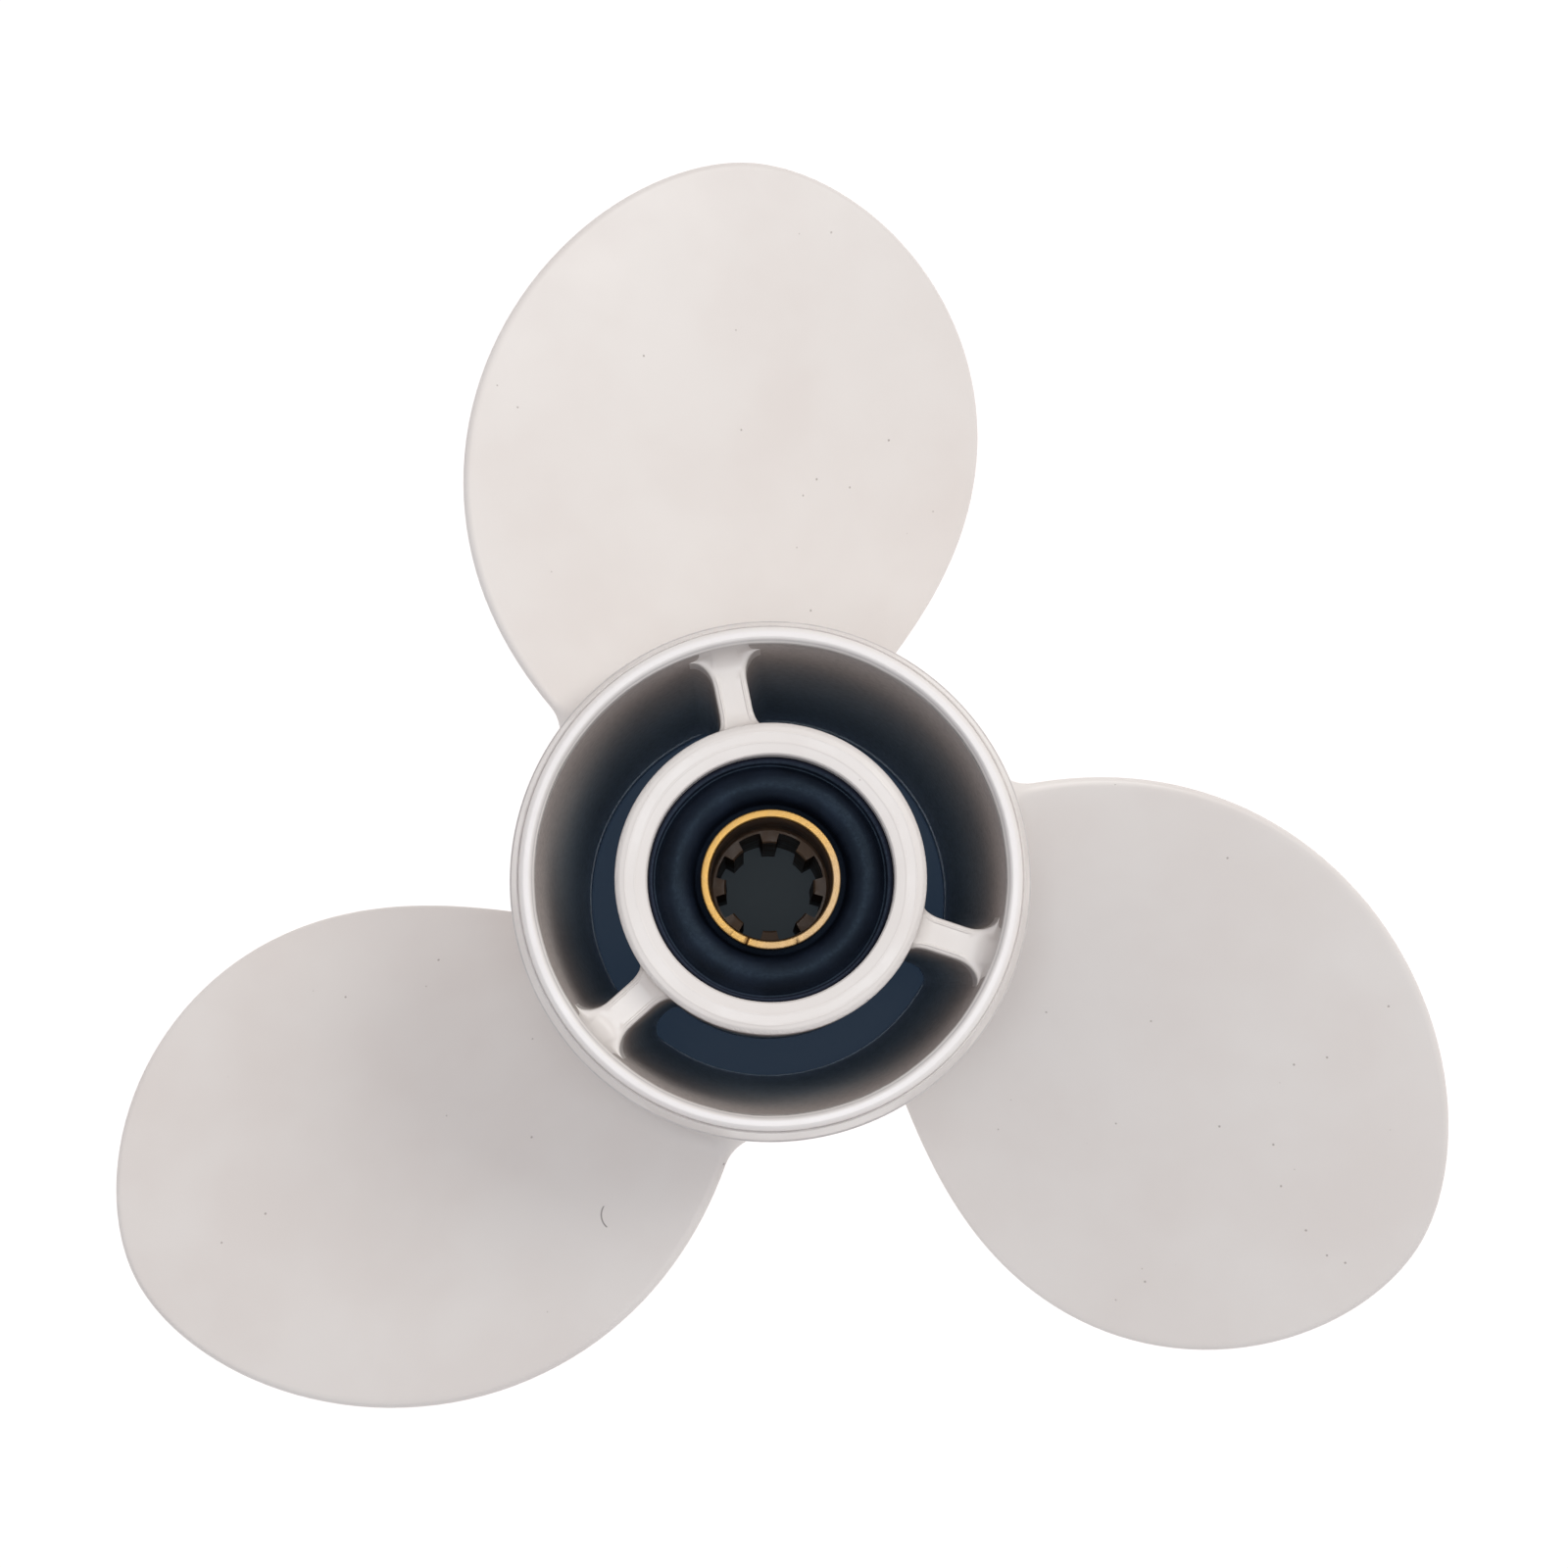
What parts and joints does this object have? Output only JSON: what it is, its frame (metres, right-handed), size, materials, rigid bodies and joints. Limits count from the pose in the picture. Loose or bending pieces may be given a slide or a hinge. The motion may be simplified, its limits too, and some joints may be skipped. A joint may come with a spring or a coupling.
{
  "type": "boat propeller",
  "caption": "Outboard boat propeller: right-hand blades on a through-hub exhaust tube, ribs to an inner hub, rubber bush and splined brass sleeve.",
  "frame": {"origin": "on the shaft axis, in the plane of the outer hub's front rim, which is the face that it stands on", "axes": "+Z along the shaft axis towards the rear, where the exhaust leaves; +Y through the middle of rib_1"},
  "size_m": [0.21, 0.2029, 0.086],
  "materials": {
    "painted_casting": "gloss",
    "bush_rubber": "satin",
    "sleeve_brass": "satin"
  },
  "bodies": {
    "sleeve": {"splined_sleeve": "sleeve_brass"},
    "bush": {"rubber_bush": "bush_rubber"},
    "propeller": {"outer_hub": "painted_casting", "inner_hub": "painted_casting", "rib_1": "painted_casting", "rib_2": "painted_casting", "rib_3": "painted_casting", "blade_1": "painted_casting", "blade_2": "painted_casting", "blade_3": "painted_casting"}
  },
  "joints": [
    {"name": "bush_twist", "type": "hinge", "parent": "sleeve", "child": "bush", "pos_m": [0, 0, 0.045], "axis": [0, 0, 1], "range_deg": [-8, 8], "stiffness_Nm_per_rad": 400},
    {"name": "hub_slip", "type": "hinge", "parent": "bush", "child": "propeller", "pos_m": [0, 0, 0.045], "axis": [0, 0, 1], "continuous": true}
  ]
}
